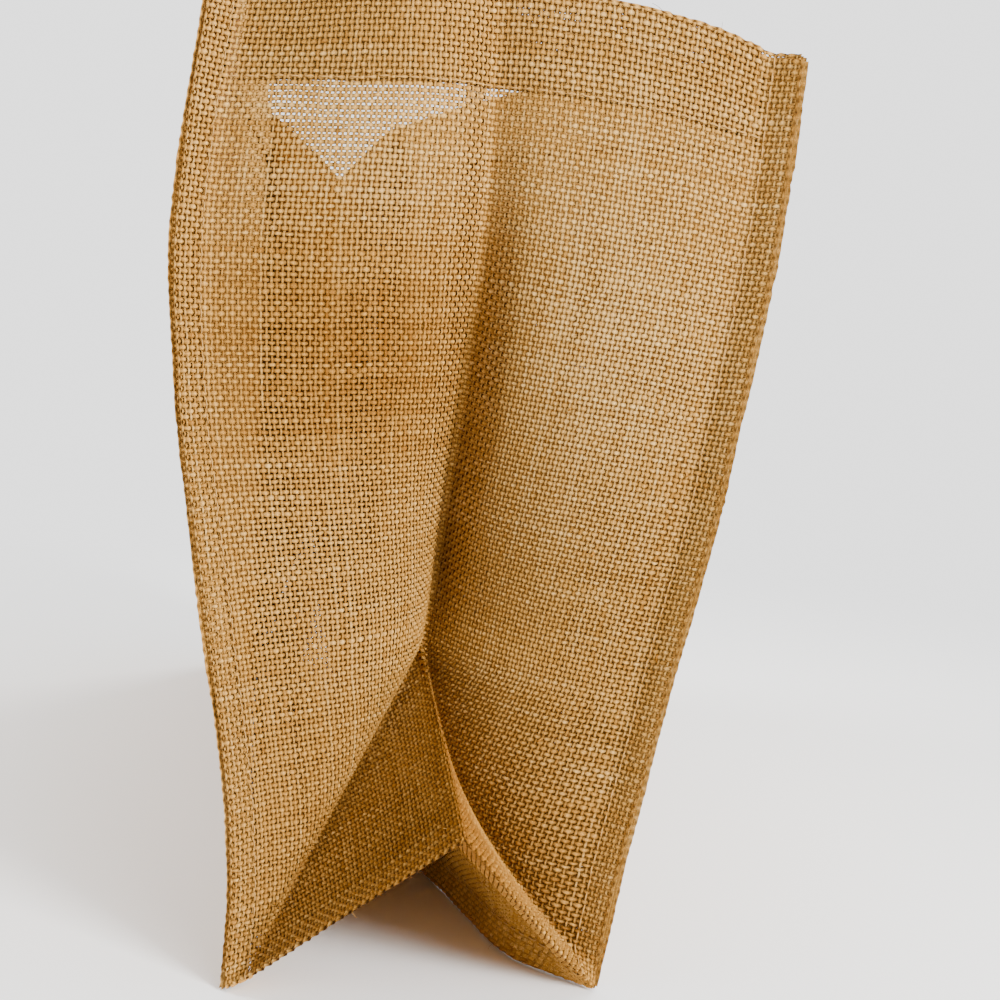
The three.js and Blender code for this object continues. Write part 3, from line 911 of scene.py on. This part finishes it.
@dataclass
class Cloth:
    """A woven sheet: the points where its threads cross, and how its threads vary.

    Rows are the threads across the sheet and columns the threads along it. The tone changes their tint
    by painted light and shade, and the swell changes their width.
    """

    grid: np.ndarray
    seed: int
    tone: np.ndarray | float = 0.0
    swell: np.ndarray | float = 0.0
    normals: np.ndarray = field(init=False)
    across: np.ndarray = field(init=False)
    along: np.ndarray = field(init=False)
    warp_tint: np.ndarray = field(init=False)
    weft_tint: np.ndarray = field(init=False)
    warp_width: np.ndarray = field(init=False)
    weft_width: np.ndarray = field(init=False)

    WANDER_SLOW = 0.2  # how far crossings stray along the sheet in mm, many together and one by one
    WANDER_SPOT = 0.1
    WANDER_CELL = (9, 9)  # crossings that stray together
    BUCKLE = 0.3  # how far they stray out of it
    BUCKLE_CELL = (24, 24)
    WORN = 0.03  # change of tint over wide patches
    WORN_CELL = (40, 40)

    def __post_init__(self) -> None:
        """Measures the sheet and draws its threads' variation."""
        rng = np.random.default_rng(self.seed)
        self.along = unit(np.gradient(self.grid, axis=0))
        self.across = unit(np.gradient(self.grid, axis=1))
        self.normals = unit(np.cross(self.along, self.across))
        shape = self.grid.shape[:2]
        wander = []
        for _ in range(2):
            slow = soft_noise(shape, self.WANDER_CELL, rng) * self.WANDER_SLOW
            wander.append(slow + rng.normal(size=shape) * self.WANDER_SPOT)
        self.grid = self.grid + self.across * wander[0][..., None] + self.along * wander[1][..., None]
        buckle = soft_noise(shape, self.BUCKLE_CELL, rng) * self.BUCKLE
        self.grid = self.grid + self.normals * buckle[..., None]
        # Random wear over wide patches, plus the tone's painted light and shade.
        wear_and_painted_light = soft_noise(shape, self.WORN_CELL, rng) * self.WORN + self.tone
        sets = []
        for line, cell in (((1, shape[1]), (SLOW_RUN, 1)), ((shape[0], 1), (1, SLOW_RUN))):
            tint = 0.5 + wear_and_painted_light + self.uneven(line, cell, TINT_UNEVEN, rng)
            sets.append((tint, 1 + self.uneven(line, cell, WIDTH_UNEVEN, rng) + self.swell))
        (self.warp_tint, self.warp_width), (self.weft_tint, self.weft_width) = sets

    def uneven(
        self, line: tuple[int, int], cell: tuple[int, int], amount: Uneven, rng: np.random.Generator
    ) -> np.ndarray:
        """Draws how a value varies over the threads that run one way.

        Args:
            line: shape of an array with one value a thread.
            cell: crossings between slow changes, by row and column.
            amount: how far the value varies.
            rng: source of the values.

        Returns:
            The change by row and column.
        """
        shape = self.grid.shape[:2]
        threads = amount.thread * rng.normal(size=line)
        slow = amount.slow * soft_noise(shape, cell, rng)
        return threads + slow + amount.spot * rng.normal(size=shape)

    @staticmethod
    def bands(
        lines: np.ndarray, sideways: np.ndarray, normals: np.ndarray, width: np.ndarray, style: Weave
    ) -> tuple[np.ndarray, np.ndarray]:
        """Sweeps threads along their middle lines.

        Args:
            lines: middle points by thread and station.
            sideways: unit vectors across each thread.
            normals: unit vectors out of the sheet.
            width: half width at each station.
            style: the weave they belong to.

        Returns:
            Vertices and quads.
        """
        count, stations = lines.shape[:2]
        points_across = style.form.value
        offsets = np.linspace(-1, 1, points_across)
        beside = offsets * width[..., None]
        drop = style.crown * offsets**2 * width[..., None]
        wide = lines[:, :, None] + sideways[:, :, None] * beside[..., None]
        points = wide - normals[:, :, None] * drop[..., None]
        index = np.arange(count * stations * points_across).reshape(count, stations, points_across)
        a, b = index[:, :-1, :-1], index[:, :-1, 1:]
        c, d = index[:, 1:, 1:], index[:, 1:, :-1]
        return points.reshape(-1, 3), np.stack([a, b, c, d], -1).reshape(-1, 4)

    def weave(self, rows: slice, style: Weave, closed: bool = True) -> Threads:
        """Builds the threads of some rows.

        Args:
            rows: rows of the sheet.
            style: how they are woven.
            closed: whether the last row's own thread belongs here, or to the piece that goes on from it.

        Returns:
            The threads.
        """
        grid, normals = self.grid[rows], self.normals[rows]
        parity = np.indices(grid.shape[:2]).sum(0) + rows.start
        over = np.where(parity % 2 == 0, 1.0, -1.0)
        rise = normals * over[..., None]
        warp_half = self.warp_width[rows] * style.warp_cover * WARP_PITCH / 2
        weft_half = self.weft_width[rows] * style.weft_cover * WEFT_PITCH / 2
        warp = (grid + rise * style.warp_wave, -self.across[rows], normals)
        turned = [np.swapaxes(part, 0, 1) for part in warp]
        own = slice(None) if closed else slice(0, -1)
        level = [part[own] for part in (grid - rise * style.weft_wave, self.along[rows], normals)]
        ends = EDGE_LIFT if style.form is Ribbon.CROWNED else 0.0
        edge = np.where(np.abs(np.linspace(-1, 1, style.form.value)) > 0.5, ends, 0.0)
        parts = []
        for lines, half, tint, sign, depth in (
            (turned, warp_half.T, self.warp_tint[rows].T, over.T, WARP_LIFT),
            (level, weft_half[own], self.weft_tint[rows][own], -over[own], WEFT_LIFT),
        ):
            points, quads = self.bands(*lines, half, style)
            # The lift sets the painted shade: low at under crossings and at a crowned thread's edges.
            lift = (sign[..., None] * depth + edge).ravel()
            parts.append(Threads(points, quads, np.repeat(tint.ravel(), style.form.value), lift))
        return Threads.join(parts)

    def hem(self, rows: slice, seed: int) -> Threads:
        """The layer turned to the inside along a rim.

        Args:
            rows: the rows that it lies behind.
            seed: number for its threads' variation.

        Returns:
            The threads, kept clear of the seam allowances.
        """
        margin = int(ALLOWANCE / WARP_PITCH) + HEM_MARGIN
        inside = (rows, slice(margin, -margin))
        turned = Cloth(self.grid[inside] - self.normals[inside] * HEM_GAP, seed)
        return turned.weave(slice(0, len(turned.grid)), CLOSE_WEAVE)

    def line(self, rows: np.ndarray, columns: np.ndarray) -> tuple[np.ndarray, np.ndarray]:
        """Points and normals along a line on the sheet.

        Args:
            rows: places by row, in grid steps.
            columns: places by column, in grid steps.

        Returns:
            Points and unit normals.
        """
        i = np.clip(np.round(rows).astype(int), 0, self.grid.shape[0] - 1)
        j = np.clip(np.round(columns).astype(int), 0, self.grid.shape[1] - 1)
        return self.grid[i, j], self.normals[i, j]


@dataclass
class GussetStrip:
    """The long strip: near side, base and far side in one cloth."""

    shape: StripShape
    material: bpy.types.Material
    cloth: Cloth = field(init=False)

    LENGTH = 2 * SEAM_HEIGHT + BAG_WIDTH
    UPPER_END = 160.0  # where the drawn pieces of the strip part, from the near rim
    LOWER_END = 322.0
    BASE_END = 740.0
    BEAK_SWELL = 0.16  # the beak's threads are pressed wider by this share
    BEAK_EDGE = 15.0  # and reach that width this far from its folds
    SOFTENING = 2  # passes that round the folds
    SEED = 11
    NEAR_HEM_SEED = 31
    FAR_HEM_SEED = 33

    @staticmethod
    def tones(runs: np.ndarray, across: np.ndarray) -> np.ndarray:
        """Adds up the patches of painted light and painted shade.

        Args:
            runs: distances of the rows from the near rim.
            across: distances of the columns from the front edge.

        Returns:
            The change of tint by row and column.
        """
        total = np.zeros((len(runs), len(across)))
        for patch in PAINTED_LIGHT_PATCHES:
            down = ((runs - patch.run) / patch.long) ** 2
            beside = ((across - patch.across) / patch.wide) ** 2
            total += patch.tone * np.exp(-down[:, None] - beside)
        return total

    def swell(self, runs: np.ndarray, across: np.ndarray) -> np.ndarray:
        """Widens threads on the beak, the square between the corner folds, by a share for each crossing."""
        inside = HALF - np.abs(runs - SEAM_HEIGHT)[:, None] - np.abs(across - HALF)
        return self.BEAK_SWELL * np.clip(inside / self.BEAK_EDGE, 0, 1)

    def build(self) -> list[bpy.types.Object]:
        """Weaves the strip, drawn in four lengths, with a hem at each end.

        Returns:
            The four lengths from the near rim to the far one.
        """
        across = (np.arange(int(GUSSET_DEPTH / WARP_PITCH)) + 0.5) * WARP_PITCH
        runs = (np.arange(int(self.LENGTH / WEFT_PITCH)) + 0.5) * WEFT_PITCH
        grid = np.stack([self.shape.row(run, across) for run in runs])
        # The patches are painted light and shade in the tint; the beak's threads are widened.
        patches, beak = self.tones(runs, across), self.swell(runs, across)
        self.cloth = Cloth(soften(grid, self.SOFTENING), self.SEED, patches, beak)
        last = len(runs)
        ends = (self.UPPER_END, self.LOWER_END, self.BASE_END)
        upper, lower, base = (int(end / WEFT_PITCH) for end in ends)
        hem = int(HEM_DEPTH / WEFT_PITCH)
        weave = self.cloth.weave
        near_hem = self.cloth.hem(slice(0, hem), self.NEAR_HEM_SEED)
        far_hem = self.cloth.hem(slice(last - hem, last), self.FAR_HEM_SEED)
        lengths = (
            ("upper", [weave(slice(0, upper + 1), OPEN_WEAVE, False), near_hem]),
            ("lower", [weave(slice(upper, lower + 1), OPEN_WEAVE, False)]),
            ("base", [weave(slice(lower, base + 1), BASE_WEAVE, False)]),
            ("far", [weave(slice(base, last), CLOSE_WEAVE), far_hem]),
        )
        sizes = (
            self.UPPER_END + HEM_DEPTH,
            self.LOWER_END - self.UPPER_END,
            self.BASE_END - self.LOWER_END,
            self.LENGTH - self.BASE_END + HEM_DEPTH,
        )
        made = []
        for (label, parts), size in zip(lengths, sizes):
            piece = Threads.join(parts).build(f"gusset_weave_{label}", self.material, "jute_cloth")
            made.append(piece)
        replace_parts(made[0], "gusset_strip")
        return made


@dataclass
class Panel:
    """One of the two panels with its turned-in hem."""

    shape: PanelShape
    node: str
    material: bpy.types.Material
    seed: int
    cloth: Cloth = field(init=False)

    SOFTENING = 3  # passes that round the folds

    def build(self) -> bpy.types.Object:
        """Weaves the panel.

        Returns:
            The panel with its hem.
        """
        across = (np.arange(int(BAG_WIDTH / WARP_PITCH)) + 0.5) * WARP_PITCH
        ups = (np.arange(int(SEAM_HEIGHT / WEFT_PITCH)) + 0.5) * WEFT_PITCH / SEAM_HEIGHT
        grid = np.stack([self.shape.flat_row(up, across) for up in ups])
        if self.shape.side is Side.BACK:
            grid = grid[:, ::-1]
        self.cloth = Cloth(soften(grid, self.SOFTENING), self.seed)
        hem = slice(len(ups) - int(HEM_DEPTH / WEFT_PITCH), len(ups))
        whole = self.cloth.weave(slice(0, len(ups)), CLOSE_WEAVE)
        threads = Threads.join([whole, self.cloth.hem(hem, self.seed + 1)])
        made = threads.build(f"{self.node}_weave", self.material, "jute_cloth")
        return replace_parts(made, self.node)


@dataclass
class Handle:
    """A webbing strap sewn to the outside of a panel."""

    panel: PanelShape
    node: str
    material: bpy.types.Material
    seed: int
    middle: np.ndarray = field(init=False)
    wide: np.ndarray = field(init=False)
    face: np.ndarray = field(init=False)

    AROUND = 30  # threads along the strap, counted round it
    SEWN = 56.0  # length of a sewn end
    STITCH_IN = 3.0  # stitching from the strap's edge
    STITCH_RISE = 0.1  # sewing thread over the strap's face
    STATIONS = 1200  # steps that measure its length
    RING_STATIONS = 721  # and its way round
    SKIN = 0.4  # from the strap's outside to the middle of its threads
    BOX_STATIONS = 40  # steps along one line of the sewn box

    def centre(self, at: np.ndarray) -> np.ndarray:
        """Middle line of the strap.

        Args:
            at: stations, counted in table rows.

        Returns:
            One point for each station.
        """
        rows = hermite(np.arange(len(STRAP_ROWS)), np.array(STRAP_ROWS, float), at)
        points = []
        for x, rise, out, _ in rows:
            foot = self.panel.at(np.array([x]), min(1.0, 1 + rise / SEAM_HEIGHT))[0]
            foot[2] += max(0.0, rise)
            foot[1] += self.panel.side.value * (STRAP_OFF + out)
            points.append(foot)
        return np.array(points)

    def build(self) -> bpy.types.Object:
        """Weaves the strap as a flat tube of webbing.

        Returns:
            The strap.
        """
        fine = np.linspace(0, len(STRAP_ROWS) - 1, self.STATIONS)
        length = walked(self.centre(fine))
        at = np.interp(np.arange(0, length[-1], WEFT_PITCH), length, fine)
        middle = self.centre(at)
        along = unit(np.gradient(middle, axis=0))
        turn = np.radians(hermite(np.arange(len(STRAP_ROWS)), [r.turn for r in STRAP_ROWS], at))[:, None]
        out = -self.panel.inward(middle[:, 0], 1.0) * [1, 1, 0]
        wide = unit(np.cross(unit(out), along)) * np.cos(turn) + unit(out) * np.sin(turn)
        wide = unit(wide - along * (wide * along).sum(1, keepdims=True))
        thick = np.cross(along, wide)
        self.middle, self.wide = middle, wide
        self.face = thick * np.sign((thick * out).sum(1, keepdims=True))
        angle = np.linspace(0, 2 * np.pi, self.RING_STATIONS)
        loop = np.stack(
            [
                np.sign(np.cos(angle)) * np.abs(np.cos(angle)) ** 0.25 * (STRAP_WIDE / 2 - self.SKIN),
                np.sign(np.sin(angle)) * np.abs(np.sin(angle)) ** 0.5 * (STRAP_THICK / 2 - self.SKIN),
            ],
            -1,
        )
        round_it = walked(loop)
        ring = read_line(np.linspace(0, round_it[-1], self.AROUND + 1), round_it, loop)
        grid = middle[:, None] + wide[:, None] * ring[None, :, :1] + thick[:, None] * ring[None, :, 1:]
        threads = Cloth(grid, self.seed).weave(slice(0, len(grid)), WEBBING_WEAVE)
        made = threads.build(f"{self.node}_webbing", self.material, "strap_webbing")
        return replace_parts(made, self.node)

    def sew_ends(self, stitching: "Stitching") -> None:
        """Runs a box with a cross of thread over both sewn ends.

        Args:
            stitching: where the stitches are gathered.
        """
        half = STRAP_WIDE / 2 - self.STITCH_IN
        first, last = (int(v / WEFT_PITCH) for v in (self.STITCH_IN, self.SEWN))
        box = ((-1, 0), (1, 0), (1, 1), (-1, 1), (-1, 0), (1, 1)), ((1, 0), (-1, 1))
        for flip in (False, True):
            for corners in box:
                for (a, start), (b, end) in zip(corners, corners[1:]):
                    t = np.linspace(0, 1, self.BOX_STATIONS)
                    at = np.round(first + (last - first) * (start + (end - start) * t)).astype(int)
                    rows = -1 - at if flip else at
                    beside = (a + (b - a) * t)[:, None] * half
                    line = self.middle[rows] + self.wide[rows] * beside + self.face[rows] * STRAP_THICK / 2
                    stitching.add(line, self.face[rows], self.STITCH_RISE)


@dataclass
class Stitching:
    """Rows of sewing thread along the seams, hems and handle ends."""

    material: bpy.types.Material
    points: list[np.ndarray] = field(default_factory=list)
    quads: list[np.ndarray] = field(default_factory=list)

    STEP = 4.6  # from one stitch to the next
    REACH = 0.42  # half a stitch's length as a share of the step
    RADIUS = 0.26
    SIDES = 5

    def add(self, line: np.ndarray, normals: np.ndarray, rise: float) -> None:
        """Sews along a line.

        Args:
            line: points along the cloth.
            normals: unit normals there.
            rise: height of the thread over the cloth's middle.
        """
        length = walked(line)
        places = np.arange(self.STEP / 2, length[-1], self.STEP)
        middle = read_line(places, length, line)
        normal = unit(read_line(places, length, normals))
        along = unit(read_line(places + 1, length, line) - read_line(places - 1, length, line))
        beside = np.cross(normal, along)
        corners = []
        for ring in STITCH_RINGS:
            centre = middle + along * ring.share * self.STEP * self.REACH + normal * (rise - ring.drop)
            for k in range(self.SIDES):
                a = 2 * math.pi * k / self.SIDES
                outward = normal * math.sin(a) + beside * math.cos(a)
                corners.append(centre + outward * self.RADIUS * ring.size)
        points = np.stack(corners, 1)
        start = sum(len(p) for p in self.points)
        index = start + np.arange(points.shape[0] * points.shape[1])
        index = index.reshape(len(points), len(STITCH_RINGS), self.SIDES)
        turned = np.roll(index, -1, axis=2)
        faces = np.stack([index[:, :-1], turned[:, :-1], turned[:, 1:], index[:, 1:]], -1)
        self.points.append(points.reshape(-1, 3))
        self.quads.append(faces.reshape(-1, 4))

    def build(self) -> bpy.types.Object:
        """Joins all the stitches.

        Returns:
            One object.
        """
        points = np.concatenate(self.points)
        even = np.full(len(points), 0.5)
        threads = Threads(points, np.concatenate(self.quads), even, even * 0)
        return threads.build("seam_stitches", self.material, "jute_cloth")


@dataclass
class LooseFibres:
    """Short hairs that stand off the yarn, or dark bits of bark caught in it."""

    material: bpy.types.Material
    seed: int
    count: int
    tint: float
    length: tuple[float, float]
    width: tuple[float, float]

    ROOT = 0.5  # a hair's root over the cloth's middle
    STEEPNESS = (0.1, 0.45)  # how it leaves the cloth
    STATIONS = (0, 0.35, 0.7, 1)  # shares of its length
    FALL = 1.2  # the share at which it would be back at the cloth

    def build(self, cloth: Cloth, name: str) -> bpy.types.Object:
        """Scatters hairs over a cloth.

        Args:
            cloth: the cloth they stand on.
            name: object name.

        Returns:
            One object.
        """
        rng = np.random.default_rng(self.seed)
        i = rng.integers(0, cloth.grid.shape[0], self.count)
        j = rng.integers(0, cloth.grid.shape[1], self.count)
        normal = cloth.normals[i, j]
        lean = rng.uniform(0, 2 * np.pi, self.count)[:, None]
        flat = cloth.along[i, j] * np.cos(lean) + cloth.across[i, j] * np.sin(lean)
        reach = rng.uniform(*self.length, self.count)[:, None]
        rise = rng.uniform(*self.STEEPNESS, self.count)[:, None]
        start = cloth.grid[i, j] + normal * self.ROOT
        stations = []
        for t in self.STATIONS:
            stations.append(start + flat * reach * t + normal * reach * rise * 4 * t * (self.FALL - t))
        side = np.cross(normal, flat) * rng.uniform(*self.width, self.count)[:, None]
        points = np.stack([p for s in stations for p in (s - side, s + side)], 1)
        total = points.shape[0] * points.shape[1]
        index = np.arange(total).reshape(self.count, len(self.STATIONS), 2)
        quads = np.stack([index[:, :-1, 0], index[:, :-1, 1], index[:, 1:, 1], index[:, 1:, 0]], -1)
        tint, lift = np.full(total, self.tint), np.full(total, 2 * self.tint - 1)
        threads = Threads(points.reshape(-1, 3), quads.reshape(-1, 4), tint, lift)
        return threads.build(name, self.material, "jute_cloth")


@dataclass(frozen=True)
class Studio:
    """Pale floor, soft light and the camera."""

    azimuth: float = 79.64
    elevation: float = 7.9
    roll: float = 4.85
    distance: float = 472.69
    focal_px: float = 1498.0
    picture_px: float = 1000.0
    target: tuple[float, float, float] = (210.0, 15.01, 164.33)
    floor_start: float = 0.28  # where the floor begins to fade into the background, metres from the bag
    floor_end: float = 0.75
    ambient: float = 0.34
    background: float = 2.2

    def camera(self) -> bpy.types.Object:
        """Puts the camera at the photograph's angle.

        Returns:
            The camera.
        """
        a, e, r = (math.radians(v) for v in (self.azimuth, self.elevation, self.roll))
        back = Vector((math.sin(a) * math.cos(e), -math.cos(a) * math.cos(e), math.sin(e)))
        level = (-back).cross(Vector((0, 0, 1))).normalized()
        upright = level.cross(-back)
        right = level * math.cos(r) + upright * math.sin(r)
        upward = upright * math.cos(r) - level * math.sin(r)
        data = bpy.data.cameras.new("photo_camera")
        data.sensor_width = 36.0
        data.lens = self.focal_px / self.picture_px * data.sensor_width
        data.clip_start = 0.01
        made = put("photo_camera", data)
        place = (Vector(self.target) + Vector(SHIFT) + back * self.distance) * MM
        turn = Matrix((right, upward, back)).transposed()
        made.matrix_world = Matrix.Translation(place) @ turn.to_4x4()
        bpy.context.scene.camera = made
        return made

    @staticmethod
    def area(light: SoftLight) -> bpy.types.Object:
        """Adds a soft square light that faces the bag.

        Args:
            light: what it is like.

        Returns:
            The light.
        """
        data = bpy.data.lights.new(light.name, "AREA")
        data.shape = "SQUARE"
        data.size = light.side
        data.energy = light.power
        made = put(light.name, data)
        made.location = light.place
        aim = Vector(LIGHT_AIM) - Vector(light.place)
        made.rotation_mode = "QUATERNION"
        made.rotation_quaternion = aim.to_track_quat("-Z", "Y")
        return made

    def floor(self) -> bpy.types.Object:
        """Lays a pale floor.

        Returns:
            The floor.
        """
        # Flat white paint: no gloss, so only soft shadows show, and far out it fades into the background.
        made = bpy.data.materials.new("pale_floor_paint")
        made.use_nodes = True
        tree = made.node_tree
        shader = tree.nodes["Principled BSDF"]
        shader.inputs["Base Color"].default_value = linear("fafaf9")
        shader.inputs["Roughness"].default_value = 0.9
        place = add_node(tree, "ShaderNodeTexCoord").outputs["Object"]
        reach = add_node(tree, "ShaderNodeVectorMath", {0: place}, operation="LENGTH").outputs["Value"]
        fade = add_node(
            tree,
            "ShaderNodeMapRange",
            {"Value": reach, "From Min": self.floor_start, "From Max": self.floor_end},
            interpolation_type="SMOOTHSTEP",
        ).outputs["Result"]
        clear = add_node(tree, "ShaderNodeBsdfTransparent").outputs["BSDF"]
        mixed = add_node(tree, "ShaderNodeMixShader", {0: fade, 1: shader.outputs["BSDF"], 2: clear})
        tree.links.new(mixed.outputs["Shader"], tree.nodes["Material Output"].inputs["Surface"])
        mesh = bpy.data.meshes.new("floor")
        plane = bmesh.new()
        bmesh.ops.create_grid(plane, x_segments=1, y_segments=1, size=self.floor_end)
        plane.to_mesh(mesh)
        plane.free()
        mesh.materials.append(made)
        ground = put("floor", mesh)
        ground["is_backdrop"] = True
        return ground

    def surroundings(self) -> bpy.types.World:
        """Makes a white background that gives only a little light of its own.

        Returns:
            The world.
        """
        world = bpy.data.worlds.new("studio")
        world.use_nodes = True
        tree = world.node_tree
        sky = tree.nodes["Background"]
        sky.inputs["Color"].default_value = (1, 1, 1, 1)
        direct = add_node(tree, "ShaderNodeLightPath").outputs["Is Camera Ray"]
        strength = add_node(
            tree, "ShaderNodeMapRange", {"Value": direct, "To Min": self.ambient, "To Max": self.background}
        )
        tree.links.new(strength.outputs["Result"], sky.inputs["Strength"])
        bpy.context.scene.world = world
        return world

    def build(self) -> None:
        """Makes camera, floor, lights and the surrounding light."""
        self.camera()
        self.floor()
        self.surroundings()
        for light in LIGHTS:
            self.area(light)


def sew(strip: GussetStrip, panels: Sequence[Panel], stitching: Stitching) -> None:
    """Runs the thread along the seams and hems.

    Args:
        strip: the gusset strip.
        panels: front and back panel.
        stitching: where the stitches are gathered.
    """
    cloth = strip.cloth
    rows, columns = cloth.grid.shape[:2]
    inset = (ALLOWANCE - SEAM_STITCH_IN) / WARP_PITCH
    whole = np.arange(rows)
    for column in (inset, columns - 1 - inset):
        stitching.add(*cloth.line(whole, np.full(rows, column)), STITCH_RISE)
    hem = (HEM_DEPTH - HEM_STITCH_IN) / WEFT_PITCH
    flange = int(ALLOWANCE / WARP_PITCH)
    between = np.arange(flange, columns - flange)
    for row in (hem, rows - 1 - hem):
        stitching.add(*cloth.line(np.full(len(between), row), between), STITCH_RISE)
    for panel in panels:
        high, wide = panel.cloth.grid.shape[:2]
        between = np.arange(flange, wide - flange)
        stitching.add(*panel.cloth.line(np.full(len(between), high - 1 - hem), between), STITCH_RISE)


def main() -> None:
    """Builds the bag's pieces in order and reports them."""
    logging.basicConfig(level=logging.INFO, format="%(name)s: %(message)s")
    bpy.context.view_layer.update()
    Studio().build()
    jute, webbing, thread = (finish.material() for finish in (JUTE, WEBBING, THREAD))
    front = PanelShape(Side.FRONT, FRONT_ROWS, FRONT_RIM)
    back = PanelShape(Side.BACK, BACK_ROWS, BACK_RIM)
    strip = GussetStrip(StripShape(front, back), jute)
    strip.build()
    panels = [Panel(front, "front_panel", jute, seed=21), Panel(back, "back_panel", jute, seed=23)]
    for panel in panels:
        panel.build()
    handles = [
        Handle(front, "front_handle", webbing, seed=41),
        Handle(back, "back_handle", webbing, seed=43),
    ]
    stitching = Stitching(thread)
    sew(strip, panels, stitching)
    for handle in handles:
        handle.build()
        handle.sew_ends(stitching)
    stitching.build()
    hairs = LooseFibres(jute, seed=5, count=1800, tint=0.85, length=(1.5, 5.0), width=(0.03, 0.06))
    hairs.build(strip.cloth, "loose_fibres")
    specks = LooseFibres(jute, seed=7, count=70, tint=0.05, length=(0.8, 3.0), width=(0.12, 0.3))
    specks.build(strip.cloth, "bark_specks")
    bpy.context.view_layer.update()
    triangles = {piece.name: 2 * len(piece.data.polygons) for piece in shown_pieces()}
    for name, count in triangles.items():
        LOG.info("%s: %d triangles", name, count)
    LOG.info("in all: %d triangles", sum(triangles.values()))


if __name__ == "__main__":
    main()
